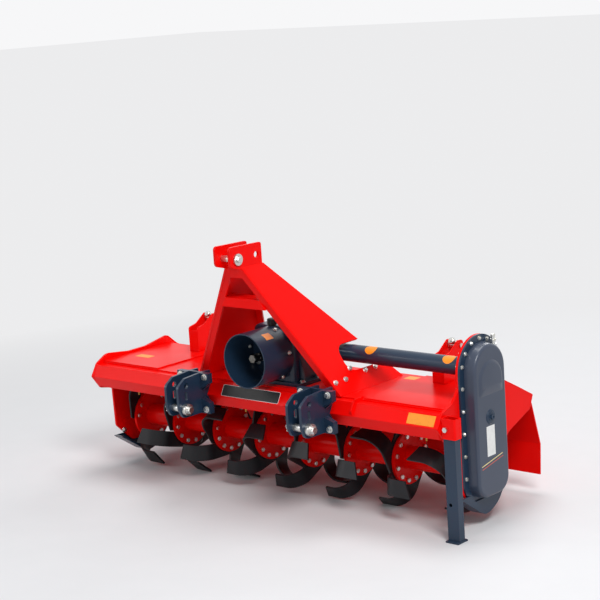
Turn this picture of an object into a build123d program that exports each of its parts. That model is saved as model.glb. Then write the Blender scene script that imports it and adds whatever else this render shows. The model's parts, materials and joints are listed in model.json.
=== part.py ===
from build123d import *
import os
from math import cos, radians, sin, sqrt

os.makedirs("parts", exist_ok=True)

# Rotavator (rotary tiller) for a three-point linkage, millimetres.
# +X is the gear-case side, -Y is the front (tractor side), +Z is up.
# Drawn from the middle of the linkage (x), the rotor axis (y) and the ground (z);
# the written pieces have their origin on the ground below the middle of the overall box.

# ---------------------------------------------------------------- driving sizes
seat_gap = 0.3            # gap at loosely seated faces
run_clearance = 0.05      # radial clearance of shafts and hinge pins
slide_clearance = 0.3     # stand tube in its socket

# rotor
flange_count = 8
rotor_height = 206.0
tip_radius = 206.0        # cutting corner of the blades
flange_radius = 104.0
flange_thickness = 12.0
rotor_tube_radius = 44.0
stub_radius = 20.0
blades_per_flange = 6
blade_thickness = 8.0
blade_bar = 65.0          # width of the flat bar
blade_line = 85.0         # its middle line, from the rotor axis
blade_root = 30.0         # bar behind its closest point to the axis
blade_clearance = 3.0     # between the roots of neighbouring blades
blade_bend = 75.0         # bend radius at mid thickness
blade_reach = {"left": 124.0, "right": 134.0}  # from the back of the stem to the middle of the tip
blade_tip_slant = 25.0
first_flange_gap = 71.5   # from the left edge of the hood to the middle of the first flange
last_flange_gap = 46.5    # from the right edge of the hood to the middle of the last one
phase_first = -28.0       # left-hand blade of the first flange
phase_step = 13.7
last_flange_shift = 47.0  # extra width of the last bay

# hood
hood_width = 1810.0
hood_offset = -55.0
plate_thickness = 10.0
sheet = 6.0
left_plate_low = 96.0
right_plate_low = 110.0
plate_rear_z = 196.0      # lower rear corner of the end plates
plate_front_z = 178.0     # lower front corner of the left one
beam_corner_radius = 54.0
beam_y = -205.0
beam_z = 419.0
deck_overlap = 32.0
deck_bend_y = 196.0
board_hinge_y = 352.0
board_hinge_z = 392.0
panel_inset = 330.0

# mast
cheek_outer = 42.0
mast_plate = 10.0
cheek_front = -408.0
cheek_rear = -232.0
cheek_rise = 84.0         # upper edge of the cheeks above the bend of the mast
mast_bend_z = 966.0
mast_foot_x = 379.0
mast_flange_width = 40.0
mast_front_top_y = -350.0
mast_front_foot_y = -207.0
mast_rear_foot_y = 172.0
top_pin_y = -368.0
top_pin_rise = 34.0       # top link pin above the bend of the mast
spare_hole_inset = 30.0   # second hole, from the rear edge of the cheeks
spare_hole_lift = 3.0     # above the pin
top_pin_radius = 12.5
cross_low = 800.0
cross_high = 836.0
cross_rear = -236.0

# lower hitch brackets
hitch_half_spacing = 320.0
clevis_gap = 54.0
clevis_plate = 12.0
clevis_front = -418.0
clevis_top = 514.0
clevis_bottom = 352.0
ear_y = -290.0
ear_width = 46.0
pin_y = -385.0
pin_z = 387.0
hitch_pin_radius = 14.0
upper_hole_radius = 11.0
upper_hole_z = 478.0
upper_hole_y = -372.0

# drive
input_z = 595.0
shield_radius = 107.0
shield_wall = 4.0
shield_front = -326.0
gearbox_front = -160.0
gearbox_rear = 96.0
gearbox_half_width = 108.0
gearbox_top = 700.0
input_shaft_radius = 17.4
input_shaft_tip = -282.0
drive_tube_radius = 34.0
case_z = 587.0
case_flange_radius = 127.0
case_flange = 8.0
case_radius = 100.0
case_depth = 44.0
case_bottom = 112.0
case_corner = 66.0
case_bore = 24.0          # depth of the rotor's seat in the case cover
plug_drop = 170.0         # level plug below the middle of the case's arch
plug_shift = 4.0
plug_seat = 17.0          # radius
plug_seat_height = 5.0
plug_hex = 12.0           # half across corners
plug_hex_height = 9.0
filler_shift = 18.0
filler_inset = 22.0       # from the case's seat on its flange
filler_radius = 9.0
filler_root = 12.0        # part of the pipe inside the case
filler_rise = 18.0
filler_hex = 12.0
filler_hex_height = 8.0
filler_cap = 7.0          # radius
filler_cap_height = 14.0
bearing_depth = 54.0      # left bearing housing, outwards from the end plate
bearing_foot = 12.0
bearing_foot_radius = 66.0
bearing_radius = 44.0
bearing_cap = 8.0
notch_half = 58.0         # slot of the mast leg for the drive tube
notch_front = -96.0
notch_corner = 44.0

# parking stand
stand_y = -222.0
stand_width = 50.0
stand_depth = 32.0
stand_wall = 4.0
socket_wall = 6.0
socket_top = 457.0
socket_height = 74.0
stand_travel = 280.0

# levelling board and its spring rods
board_sheet = 5.0
board_low_y = 402.0
board_low_z = 78.0
board_pipe = 13.0
hinge_pin_radius = 7.0
tower_offset = 652.0
tower_width = 54.0
tower_front = 104.0
tower_pivot_y = 218.0
tower_pivot_z = 606.0
lug_y = 540.0
lug_z = 250.0
rod_radius = 8.0

# ---------------------------------------------------------------- derived places
x_left = hood_offset - hood_width / 2
x_right = hood_offset + hood_width / 2
across = beam_corner_radius * cos(radians(30))
beam_top = beam_z + across
beam_bottom = beam_z - across
beam_front = beam_y - beam_corner_radius
beam_flat_front = beam_y - beam_corner_radius / 2
beam_flat_rear = beam_y + beam_corner_radius / 2
deck_top = beam_top + sheet
stand_x = x_right + plate_thickness + seat_gap + socket_wall + slide_clearance + stand_width / 2
tower_xs = (hood_offset - tower_offset, hood_offset + tower_offset)
knuckles = 10
knuckle_pitch = (hood_width - 16) / knuckles
knuckle_gap = 1.5
flange_row = hood_width - first_flange_gap - last_flange_gap
flange_pitch = (flange_row - last_flange_shift) / (flange_count - 1)
flange_xs = [x_left + first_flange_gap + flange_pitch * i for i in range(flange_count)]
flange_xs[-1] = x_right - last_flange_gap
cheek_top = mast_bend_z + cheek_rise
top_pin_z = mast_bend_z + top_pin_rise


case_fitting = plug_seat_height + plug_hex_height
# reach of the whole machine, whose middle is the origin of the exported frame
case_face = x_right + plate_thickness
rod_eye = 15.0
reach_x = (x_left - plate_thickness - bearing_depth, case_face + case_flange + case_depth + case_fitting)
reach_y = (clevis_front, lug_y + rod_eye)
to_origin = Location((-(reach_x[0] + reach_x[1]) / 2, -(reach_y[0] + reach_y[1]) / 2, 0))


def put(part, name):
    """Move a finished piece into the exported frame, label it and write it."""
    solid = part.part.moved(to_origin)
    solid.label = name
    export_step(solid, f"parts/{name}.step")


side = Plane(origin=(0, 0, 0), x_dir=(0, 1, 0), z_dir=(1, 0, 0))


def side_at(x):
    """Sketch plane across the machine: local x is +Y, local y is +Z, normal +X."""
    return side.offset(x)


# ---------------------------------------------------------------- front beam
with BuildPart() as front_beam:
    with BuildSketch(side_at(x_left)):
        with Locations((beam_y, beam_z)):
            RegularPolygon(beam_corner_radius, 6)
        with Locations((beam_y, beam_z)):
            RegularPolygon(beam_corner_radius - 7, 6, mode=Mode.SUBTRACT)
    extrude(amount=hood_width)
put(front_beam, "front_beam")

# ---------------------------------------------------------------- deck
deck_slope_dy = board_hinge_y - deck_bend_y
deck_tail_z = board_hinge_z + 22
with BuildPart() as deck:
    with BuildSketch(side_at(x_left)):
        with BuildLine():
            Polyline(
                (beam_flat_front + deck_overlap, beam_top),
                (deck_bend_y, beam_top),
                (board_hinge_y - 22, deck_tail_z - sheet),
                (board_hinge_y - 22, deck_tail_z),
                (deck_bend_y + 3, deck_top),
                (beam_flat_front + deck_overlap, deck_top),
                close=True,
            )
        make_face()
    extrude(amount=hood_width)
    # hinge knuckles of the levelling board, every second place
    for i in range(0, knuckles, 2):
        with BuildSketch(side_at(x_left + 8 + i * knuckle_pitch + knuckle_gap)):
            with Locations((board_hinge_y, board_hinge_z)):
                Circle(board_pipe)
            Polygon(
                (board_hinge_y - 26, deck_tail_z),
                (board_hinge_y, board_hinge_z + board_pipe),
                (board_hinge_y, board_hinge_z),
                (board_hinge_y - 26, deck_tail_z - sheet),
                align=None,
            )
            with Locations((board_hinge_y, board_hinge_z)):
                Circle(hinge_pin_radius + run_clearance, mode=Mode.SUBTRACT)
        extrude(amount=knuckle_pitch - 2 * knuckle_gap)
put(deck, "deck")

# raised outer bay panels on the deck
with BuildPart() as deck_panels:
    with BuildSketch(Plane.XY.offset(deck_top)):
        for x_mid, x_len in (
            (x_left + panel_inset / 2 + 4, panel_inset),
            (x_right - (panel_inset + 40) / 2 - 4, panel_inset + 40),
        ):
            with Locations((x_mid, (beam_flat_front + deck_overlap + deck_bend_y) / 2)):
                Rectangle(x_len, deck_bend_y - beam_flat_front - deck_overlap - 8)
        for x_tower in tower_xs:
            with Locations((x_tower, deck_bend_y)):
                Rectangle(tower_width + 2, 2 * (deck_bend_y - tower_front) + 4, mode=Mode.SUBTRACT)
    extrude(amount=sheet)
put(deck_panels, "deck_panels")


# ---------------------------------------------------------------- end plates
def end_plate_outline():
    """Closed line of the left end plate, local x = Y, local y = Z."""
    low = left_plate_low
    FilletPolyline(
        (beam_front - 3, beam_z),
        (beam_flat_front + 2, beam_top + 5),
        (-171, beam_top + 37),
        (-40, beam_top + 21),
        (60, beam_top + 23),
        (190, beam_top + 46),
        (244, beam_top),
        (board_hinge_y - 8, board_hinge_z + 20),
        (board_hinge_y - 30, board_hinge_z - 30),
        (158, 300),
        (150, plate_rear_z),
        (64, low),
        (-66, low),
        (-150, plate_front_z),
        (-154, beam_bottom - 24),
        (beam_flat_front + 12, beam_bottom - 10),
        radius=(6, 24, 60, 60, 12, 30, 6, 20, 40, 40, 40, 40, 40, 20, 12, 6),
        close=True,
    )


with BuildPart() as left_end_plate:
    with BuildSketch(side_at(x_left - plate_thickness)):
        with BuildLine():
            end_plate_outline()
        make_face()
        with Locations((0, rotor_height)):
            Circle(stub_radius + 8, mode=Mode.SUBTRACT)
    extrude(amount=plate_thickness)
put(left_end_plate, "left_end_plate")

with BuildPart() as right_end_plate:
    with BuildSketch(side_at(x_right)):
        with BuildLine():
            low = right_plate_low
            FilletPolyline(
                (beam_front - 3, beam_z),
                (beam_flat_front + 2, beam_top + 5),
                (-166, beam_top + 26),
                (-case_flange_radius, beam_top + 70),
                (-case_flange_radius, case_z),
                (case_flange_radius, case_z),
                (case_flange_radius + 20, beam_top + 50),
                (244, beam_top),
                (board_hinge_y - 8, board_hinge_z + 20),
                (board_hinge_y - 30, board_hinge_z - 30),
                (158, 300),
                (150, plate_rear_z),
                (64, low),
                (-84, low),
                (-case_flange_radius, low + 26),
                (-case_flange_radius, beam_bottom - 24),
                (beam_flat_front + 12, beam_bottom - 10),
                radius=(6, 24, 24, 20, 0, 0, 20, 30, 6, 20, 40, 40, 40, 20, 12, 12, 6),
                close=True,
            )
        make_face()
        with Locations((0, case_z)):
            Circle(case_flange_radius)
        with Locations((0, case_z)):
            Circle(drive_tube_radius + seat_gap, mode=Mode.SUBTRACT)
        with Locations((0, rotor_height)):
            Circle(stub_radius + 8, mode=Mode.SUBTRACT)
    extrude(amount=plate_thickness)
put(right_end_plate, "right_end_plate")

# ---------------------------------------------------------------- mast
splay = (mast_foot_x - cheek_outer) / (mast_bend_z - beam_top)
splay_cos = 1 / sqrt(1 + splay * splay)
web_length = (mast_bend_z - deck_top) / splay_cos
foot_x_deck = cheek_outer + splay * (mast_bend_z - deck_top)
fold_drop = Vector(foot_x_deck - cheek_outer, mast_front_foot_y - mast_front_top_y, deck_top - mast_bend_z)
web_plane = Plane(origin=(cheek_outer, 0, mast_bend_z), x_dir=(0, 1, 0), z_dir=(splay_cos, 0, splay * splay_cos))
fold_normal = Vector(-1, 0, 0).cross(fold_drop).normalized()
fold_plane = Plane(origin=(cheek_outer, mast_front_top_y, mast_bend_z), x_dir=(-1, 0, 0), z_dir=fold_normal)
fold_length = sqrt(fold_drop.Y ** 2 + fold_drop.Z ** 2)
notch_mid = -(mast_bend_z - case_z) / splay_cos

with BuildPart() as mast_leg_right:
    # slanting web with the open slot for the cross drive tube
    with BuildSketch(web_plane):
        with BuildLine():
            Polyline(
                (mast_front_top_y, 0),
                (cheek_rear + 5, 0),
                (mast_rear_foot_y, -web_length),
                (mast_front_foot_y, -web_length),
                close=True,
            )
        make_face()
        with BuildLine(mode=Mode.PRIVATE) as notch:
            FilletPolyline(
                (notch_front, notch_mid - notch_half),
                (mast_rear_foot_y + 68, notch_mid - notch_half),
                (mast_rear_foot_y + 68, notch_mid + notch_half),
                (notch_front, notch_mid + notch_half),
                radius=(notch_corner, 0, 0, notch_corner),
                close=True,
            )
        make_face(notch.edges(), mode=Mode.SUBTRACT)
    extrude(amount=-mast_plate)
    # front fold, turned inwards
    with BuildSketch(fold_plane):
        with BuildLine():
            Polyline(
                (0, 0),
                (mast_flange_width, 0),
                (mast_flange_width - (foot_x_deck - cheek_outer), fold_length),
                (-(foot_x_deck - cheek_outer), fold_length),
                close=True,
            )
        make_face()
    extrude(amount=-mast_plate)
    # upright cheek of the top clevis
    with BuildSketch(side_at(cheek_outer - mast_plate)):
        with BuildLine():
            FilletPolyline(
                (cheek_front, mast_bend_z + 8),
                (cheek_front, cheek_top),
                (cheek_rear, cheek_top - 3),
                (cheek_rear, mast_bend_z - 8),
                (mast_front_top_y, mast_bend_z - 8),
                radius=(18, 14, 9, 0, 0),
                close=True,
            )
        make_face()
        with Locations((top_pin_y, top_pin_z), (cheek_rear - spare_hole_inset, top_pin_z + spare_hole_lift)):
            Circle(top_pin_radius + run_clearance, mode=Mode.SUBTRACT)
    extrude(amount=mast_plate)
    # level foot on the deck
    with Locations((0, 0, deck_top - 50)):
        Box(4 * foot_x_deck, 4 * web_length, 100, mode=Mode.SUBTRACT)
put(mast_leg_right, "mast_leg_right")

with BuildPart() as mast_leg_left:
    mirror(mast_leg_right.part, about=Plane.YZ)
put(mast_leg_left, "mast_leg_left")


def leg_inside(z, inset):
    """Distance from the middle to the inner face of a leg's web at height z."""
    return cheek_outer + splay * (mast_bend_z - z) - mast_plate / splay_cos - inset


def fold_y(z):
    """Front face of the folds at height z."""
    return mast_front_top_y + fold_drop.Y * (mast_bend_z - z) / (mast_bend_z - deck_top)


# channel between the legs and plate closing the crotch of the two front folds
crotch = 46.0
with BuildPart() as mast_cross_members:
    with BuildSketch(Plane.XZ.offset(-fold_y(cross_low) - mast_plate)):
        with BuildLine():
            Polyline(
                (-leg_inside(cross_low, 0), cross_low),
                (leg_inside(cross_low, 0), cross_low),
                (leg_inside(cross_high, 0), cross_high),
                (-leg_inside(cross_high, 0), cross_high),
                close=True,
            )
        make_face()
    extrude(amount=cross_rear - fold_y(cross_low) - mast_plate, dir=(0, 1, 0))
    with BuildSketch(Plane.XZ.offset(-fold_y(cross_high))):
        inner = mast_flange_width - mast_plate / splay_cos
        with BuildLine():
            Polyline(
                (-leg_inside(cross_low, inner), cross_low),
                (leg_inside(cross_low, inner), cross_low),
                (leg_inside(cross_high, inner), cross_high),
                (-leg_inside(cross_high, inner), cross_high),
                close=True,
            )
        make_face()
    extrude(amount=mast_plate + 4, dir=(0, 1, 0))
    with BuildSketch(fold_plane):
        with BuildLine():
            Polyline(
                (mast_flange_width, 0),
                (2 * cheek_outer - mast_flange_width, 0),
                (2 * cheek_outer - mast_flange_width + crotch * splay, crotch),
                (mast_flange_width - crotch * splay, crotch),
                close=True,
            )
        make_face()
    extrude(amount=-mast_plate)
    add(mast_leg_left.part, mode=Mode.SUBTRACT)
    add(mast_leg_right.part, mode=Mode.SUBTRACT)
put(mast_cross_members, "mast_cross_members")

with BuildPart() as top_link_pin:
    with BuildSketch(side_at(-cheek_outer - 22)):
        with Locations((top_pin_y, top_pin_z)):
            Circle(top_pin_radius)
    extrude(amount=2 * cheek_outer + 30)
    with BuildSketch(side_at(cheek_outer + seat_gap)):
        with Locations((top_pin_y, top_pin_z)):
            Circle(top_pin_radius + 10)
    extrude(amount=8)
put(top_link_pin, "top_link_pin")

# ---------------------------------------------------------------- lower hitch brackets
clevis_inner = clevis_gap / 2
clevis_outer = clevis_inner + clevis_plate
ear_half = clevis_outer + ear_width
mount_plate = 12.0
mount_front = ear_y + clevis_plate / 2 + seat_gap


def ear_outline(sign):
    """Upper and lower bolting ears of one clevis plate, seen from the front."""
    for z_out, z_in, z_end in ((beam_z + 56, beam_z + 24, clevis_top), (beam_z - 22, beam_z - 4, clevis_bottom)):
        Polygon(
            (sign * clevis_inner, z_in),
            (sign * ear_half, z_out),
            (sign * ear_half, z_end),
            (sign * clevis_inner, z_end),
            align=None,
        )


for hand, x_mid in (("left", -hitch_half_spacing), ("right", hitch_half_spacing)):
    with BuildPart() as bracket:
        for sign in (-1, 1):
            near = x_mid + sign * clevis_inner if sign > 0 else x_mid - clevis_outer
            with BuildSketch(side_at(near)):
                with BuildLine():
                    FilletPolyline(
                        (clevis_front, clevis_bottom + 40),
                        (clevis_front, clevis_top - 34),
                        (clevis_front + 42, clevis_top - 6),
                        (ear_y + clevis_plate / 2, clevis_top),
                        (ear_y + clevis_plate / 2, clevis_bottom),
                        (pin_y - 14, clevis_bottom),
                        radius=(34, 22, 12, 0, 0, 26),
                        close=True,
                    )
                make_face()
                with Locations((pin_y, pin_z)):
                    Circle(hitch_pin_radius + run_clearance, mode=Mode.SUBTRACT)
                with Locations((upper_hole_y, upper_hole_z)):
                    Circle(upper_hole_radius, mode=Mode.SUBTRACT)
                with Locations((upper_hole_y - 4, (pin_z + upper_hole_z) / 2 + 4)):
                    SlotCenterToCenter(22, 14, rotation=90, mode=Mode.SUBTRACT)
            extrude(amount=clevis_plate)
        with BuildSketch(Plane(origin=(x_mid, ear_y - clevis_plate / 2, 0), x_dir=(1, 0, 0), z_dir=(0, -1, 0))):
            ear_outline(-1)
            ear_outline(1)
        extrude(amount=-clevis_plate)
    put(bracket, f"hitch_bracket_{hand}")

with BuildPart() as hitch_mounts:
    for x_mid in (-hitch_half_spacing, hitch_half_spacing):
        with BuildSketch(Plane(origin=(x_mid, mount_front, 0), x_dir=(1, 0, 0), z_dir=(0, -1, 0))):
            with BuildLine():
                Polyline(
                    (-ear_half, clevis_top),
                    (ear_half, clevis_top),
                    (ear_half, beam_z + 56),
                    (clevis_outer, beam_z + 22),
                    (clevis_outer, beam_z - 6),
                    (ear_half, beam_z - 24),
                    (ear_half, clevis_bottom),
                    (-ear_half, clevis_bottom),
                    (-ear_half, beam_z - 24),
                    (-clevis_outer, beam_z - 6),
                    (-clevis_outer, beam_z + 22),
                    (-ear_half, beam_z + 56),
                    close=True,
                )
            make_face()
        extrude(amount=-mount_plate)
        for sign in (-1, 1):
            near = x_mid + sign * clevis_inner if sign > 0 else x_mid - clevis_outer
            rib_back = mount_front + mount_plate
            with BuildSketch(side_at(near)):
                with Locations(((rib_back + beam_flat_front - 2) / 2, (clevis_top + clevis_bottom) / 2)):
                    Rectangle(beam_flat_front - 2 - rib_back, clevis_top - clevis_bottom)
                with Locations((beam_y, beam_z)):
                    RegularPolygon(beam_corner_radius, 6, mode=Mode.SUBTRACT)
            extrude(amount=clevis_plate)
put(hitch_mounts, "hitch_mounts")

with BuildPart() as hitch_pins:
    for x_mid in (-hitch_half_spacing, hitch_half_spacing):
        with BuildSketch(side_at(x_mid - clevis_outer - 20)):
            with Locations((pin_y, pin_z)):
                Circle(hitch_pin_radius)
        extrude(amount=2 * clevis_outer + 44)
        with BuildSketch(side_at(x_mid + clevis_outer + seat_gap)):
            with Locations((pin_y, pin_z)):
                Circle(hitch_pin_radius + 9)
        extrude(amount=20)
put(hitch_pins, "hitch_pins")

# ---------------------------------------------------------------- drive
journal_radius = 15.0
with BuildPart() as gearbox:
    with BuildSketch(Plane.XY.offset(deck_top)):
        with Locations((0, (gearbox_front + gearbox_rear) / 2)):
            Rectangle(2 * gearbox_half_width + 60, gearbox_rear - gearbox_front + 20)
    extrude(amount=14)
    with BuildSketch(Plane.XY.offset(deck_top + 14)):
        with Locations((0, (gearbox_front + gearbox_rear) / 2)):
            RectangleRounded(2 * gearbox_half_width, gearbox_rear - gearbox_front, 30)
    extrude(amount=gearbox_top - deck_top - 14)
    fillet(gearbox.faces().sort_by(Axis.Z)[-1].edges(), 22)
    with BuildSketch(Plane.XZ.offset(-gearbox_front)):
        with Locations((0, input_z)):
            Circle(journal_radius + run_clearance)
    extrude(amount=30, mode=Mode.SUBTRACT, dir=(0, 1, 0))
put(gearbox, "gearbox")

with BuildPart() as gearbox_breather:
    with BuildSketch(Plane.XY.offset(gearbox_top)):
        with Locations((0, -90)):
            RegularPolygon(15, 6)
    extrude(amount=14)
    with BuildSketch(Plane.XY.offset(gearbox_top + 14)):
        with Locations((0, -90)):
            Circle(10)
    extrude(amount=16)
put(gearbox_breather, "gearbox_breather")

with BuildPart() as pto_shield:
    with BuildSketch(Plane.XZ.offset(-shield_front)):
        with Locations((0, input_z)):
            Circle(shield_radius)
            Circle(shield_radius - shield_wall, mode=Mode.SUBTRACT)
    extrude(amount=gearbox_front - shield_front, dir=(0, 1, 0))
put(pto_shield, "pto_shield")

with BuildPart() as input_shaft:
    with BuildSketch(Plane.XZ.offset(-input_shaft_tip)):
        with Locations((0, input_z)):
            Circle(input_shaft_radius)
    extrude(amount=gearbox_front - 2 - input_shaft_tip, dir=(0, 1, 0))
    with BuildSketch(Plane.XZ.offset(-gearbox_front + 2)):
        with Locations((0, input_z)):
            Circle(journal_radius)
    extrude(amount=26, dir=(0, 1, 0))
put(input_shaft, "input_shaft")

with BuildPart() as side_drive_tube:
    with BuildSketch(side_at(gearbox_half_width)):
        with Locations((0, case_z)):
            Circle(drive_tube_radius)
    extrude(amount=x_right + plate_thickness - gearbox_half_width)
put(side_drive_tube, "side_drive_tube")

flange_low = case_bottom - 16


def case_outline(radius, low, corner):
    """Upright case section: half round top, straight sides, rounded bottom corners."""
    with BuildLine() as outline:
        Line((-radius, low + corner), (-radius, case_z))
        ThreePointArc((-radius, case_z), (0, case_z + radius), (radius, case_z))
        Line((radius, case_z), (radius, low + corner))
        s = corner * (1 - sin(radians(45)))
        ThreePointArc((radius, low + corner), (radius - s, low + s), (radius - corner, low))
        Line((radius - corner, low), (corner - radius, low))
        ThreePointArc((corner - radius, low), (s - radius, low + s), (-radius, low + corner))
    return outline.edges()


with BuildPart() as side_case_flange:
    with BuildSketch(side_at(case_face)):
        make_face(case_outline(case_flange_radius, flange_low, case_corner + 16))
        with Locations((0, rotor_height)):
            Circle(stub_radius + 4, mode=Mode.SUBTRACT)
    extrude(amount=case_flange)
put(side_case_flange, "side_case_flange")

with BuildPart() as side_case_cover:
    with BuildSketch(side_at(case_face + case_flange)):
        make_face(case_outline(case_radius, case_bottom, case_corner))
    extrude(amount=case_depth, taper=7)
    fillet(side_case_cover.faces().sort_by(Axis.X)[-1].edges(), 12)
    with BuildSketch(side_at(case_face + case_flange)):
        with Locations((0, rotor_height)):
            Circle(stub_radius + run_clearance)
    extrude(amount=case_bore, mode=Mode.SUBTRACT)
put(side_case_cover, "side_case_cover")

filler_x = case_face + case_flange + filler_inset
filler_low = case_z + case_radius
plug_face = case_face + case_flange + case_depth
with BuildPart() as side_case_fittings:
    with BuildSketch(Plane.XY.offset(filler_low - filler_root)):
        with Locations((filler_x, filler_shift)):
            Circle(filler_radius)
    extrude(amount=filler_root + filler_rise)
    with BuildSketch(Plane.XY.offset(filler_low + filler_rise)):
        with Locations((filler_x, filler_shift)):
            RegularPolygon(filler_hex, 6)
    extrude(amount=filler_hex_height)
    with BuildSketch(Plane.XY.offset(filler_low + filler_rise + filler_hex_height)):
        with Locations((filler_x, filler_shift)):
            Circle(filler_cap)
    extrude(amount=filler_cap_height)
    add(side_case_cover.part, mode=Mode.SUBTRACT)
    with BuildSketch(side_at(plug_face)):
        with Locations((plug_shift, case_z - plug_drop)):
            Circle(plug_seat)
    extrude(amount=plug_seat_height)
    with BuildSketch(side_at(plug_face + plug_seat_height)):
        with Locations((plug_shift, case_z - plug_drop)):
            RegularPolygon(plug_hex, 6)
    extrude(amount=plug_hex_height)
put(side_case_fittings, "side_case_fittings")

# ---------------------------------------------------------------- skids
skid_sheet = 8.0
skid_width = 54.0
skid_end_z = 134.0
skid_web = 6.0
# places of the skid's bends, local x = Y, local y = Z
skid_front = (-160, skid_end_z)
skid_low = (-8, 31)
skid_rise = (70, 68)
skid_rear = (126, skid_end_z)


def skid_line():
    """Closed line whose lower side is the underside of the skid."""
    FilletPolyline(
        (skid_front[0], 2 * skid_end_z),
        skid_front,
        skid_low,
        skid_rise,
        skid_rear,
        (skid_rear[0], 2 * skid_end_z),
        radius=(1, 20, 70, 90, 20, 1),
        close=True,
    )


# a bent sole with an upright web, which is bolted flat to the end plate or the case flange
for hand, x_seat in (("left", x_left - plate_thickness - seat_gap), ("right", case_face + case_flange + seat_gap)):
    x_web = x_seat - skid_web if hand == "left" else x_seat
    x_sole = x_web if hand == "left" else x_web + skid_web - skid_width
    with BuildPart() as skid:
        with BuildSketch(side_at(x_sole)):
            with BuildLine():
                skid_line()
            make_face()
            offset(amount=-skid_sheet, mode=Mode.SUBTRACT)
            with Locations((0, skid_end_z)):
                Rectangle(600, 600, align=(Align.CENTER, Align.MIN), mode=Mode.SUBTRACT)
        extrude(amount=skid_width)
        with BuildSketch(side_at(x_web)):
            with BuildLine():
                skid_line()
            make_face()
            Polygon(
                (skid_front[0] - 9, skid_end_z),
                (-104, skid_end_z),
                (-72, case_bottom - 8),
                (60, case_bottom - 8),
                (100, skid_end_z),
                (skid_rear[0] + 9, skid_end_z),
                (skid_rear[0] + 9, 3 * skid_end_z),
                (skid_front[0] - 9, 3 * skid_end_z),
                align=None,
                mode=Mode.SUBTRACT,
            )
        extrude(amount=skid_web)
    put(skid, f"skid_{hand}")

# ---------------------------------------------------------------- rotor
rotor_low = x_left + 14
rotor_high = x_right - 14
left_stub = x_left - plate_thickness - bearing_depth + bearing_cap + 4
right_stub = case_face + case_flange + case_bore - 2
with BuildPart() as rotor_shaft:
    with BuildSketch(side_at(rotor_low)):
        with Locations((0, rotor_height)):
            Circle(rotor_tube_radius)
    extrude(amount=rotor_high - rotor_low)
    for x_flange in flange_xs:
        with BuildSketch(side_at(x_flange - flange_thickness / 2)):
            with Locations((0, rotor_height)):
                Circle(flange_radius)
        extrude(amount=flange_thickness)
    with BuildSketch(side_at(left_stub)):
        with Locations((0, rotor_height)):
            Circle(stub_radius)
    extrude(amount=right_stub - left_stub)
put(rotor_shaft, "rotor_shaft")

bar_low = blade_line + blade_bar / 2
bar_high = blade_line - blade_bar / 2
wing_y = sqrt(tip_radius ** 2 - bar_low ** 2)
bend_out = blade_bend + blade_thickness / 2
bend_in = blade_bend - blade_thickness / 2
blade_step = 360 / blades_per_flange


def flat_blade(reach):
    """Left-hand blade: a flat bar lying along -Y under the rotor axis, bent square to -X.

    The back of its stem is the plane x = 0.
    """
    corner = reach + blade_tip_slant / 2
    with BuildPart() as blade:
        with BuildSketch(Plane.XY.offset(-bar_low)):
            with BuildLine():
                Line((0, blade_root), (0, bend_out - wing_y))
                RadiusArc((0, bend_out - wing_y), (-bend_out, -wing_y), bend_out)
                Line((-bend_out, -wing_y), (-corner, -wing_y))
                Line((-corner, -wing_y), (-corner, blade_thickness - wing_y))
                Line((-corner, blade_thickness - wing_y), (-bend_out, blade_thickness - wing_y))
                RadiusArc((-bend_out, blade_thickness - wing_y), (-blade_thickness, bend_out - wing_y), -bend_in)
                Line((-blade_thickness, bend_out - wing_y), (-blade_thickness, blade_root))
                Line((-blade_thickness, blade_root), (0, blade_root))
            make_face()
        extrude(amount=blade_bar)
        # slanted tip, its leading corner reaching further
        with BuildSketch(Plane.XZ.offset(wing_y - 2 * blade_thickness)):
            Polygon(
                (-reach - blade_tip_slant / 2, -bar_low),
                (-reach + blade_tip_slant / 2, -bar_high),
                (-corner - 1, -bar_high),
                (-corner - 1, -bar_low),
                align=None,
            )
        extrude(amount=3 * blade_thickness, mode=Mode.SUBTRACT)
        # root cut along the side of the next blade on the flange
        lean = radians(blade_step)
        cut = 12 * blade_root
        away = bar_high - blade_clearance + cut / 2
        with BuildSketch(side_at(-2 * blade_thickness)):
            with Locations((away * sin(lean), -away * cos(lean))):
                Rectangle(cut, cut, rotation=blade_step)
        extrude(amount=3 * blade_thickness, mode=Mode.SUBTRACT)
    return blade.part


blade_to_left = flat_blade(blade_reach["left"])
blade_to_right = mirror(flat_blade(blade_reach["right"]), about=Plane.YZ)

# left-hand and right-hand blades in turn round each flange, the whole set turned by a step from
# flange to flange; the end flanges have the inward ones only. All stems lie on the left face of
# their flange, so the right-hand blades pass over its rim.
for i, x_flange in enumerate(flange_xs):
    with BuildPart() as blades:
        for k in range(blades_per_flange):
            to_left = k % 2 == 0
            outward = (i == 0 and to_left) or (i == flange_count - 1 and not to_left)
            if outward:
                continue
            x_seat = x_flange - flange_thickness / 2 - seat_gap
            if not to_left:
                x_seat -= blade_thickness
            turn = phase_first + phase_step * i + blade_step * k
            with Locations(Location((x_seat, 0, rotor_height), (turn, 0, 0))):
                add(blade_to_left if to_left else blade_to_right)
    put(blades, f"blades_{i + 1}")

# ---------------------------------------------------------------- left rotor bearing
with BuildPart() as left_bearing_housing:
    bearing_seat = x_left - plate_thickness
    with BuildSketch(side_at(bearing_seat - bearing_depth)):
        with Locations((0, rotor_height)):
            Circle(bearing_radius)
    extrude(amount=bearing_depth - bearing_foot)
    with BuildSketch(side_at(bearing_seat - bearing_foot)):
        with Locations((0, rotor_height)):
            Circle(bearing_foot_radius)
    extrude(amount=bearing_foot - seat_gap)
    with BuildSketch(side_at(bearing_seat - bearing_depth + bearing_cap)):
        with Locations((0, rotor_height)):
            Circle(stub_radius + run_clearance)
    extrude(amount=bearing_depth - bearing_cap, mode=Mode.SUBTRACT)
put(left_bearing_housing, "left_bearing_housing")

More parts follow.
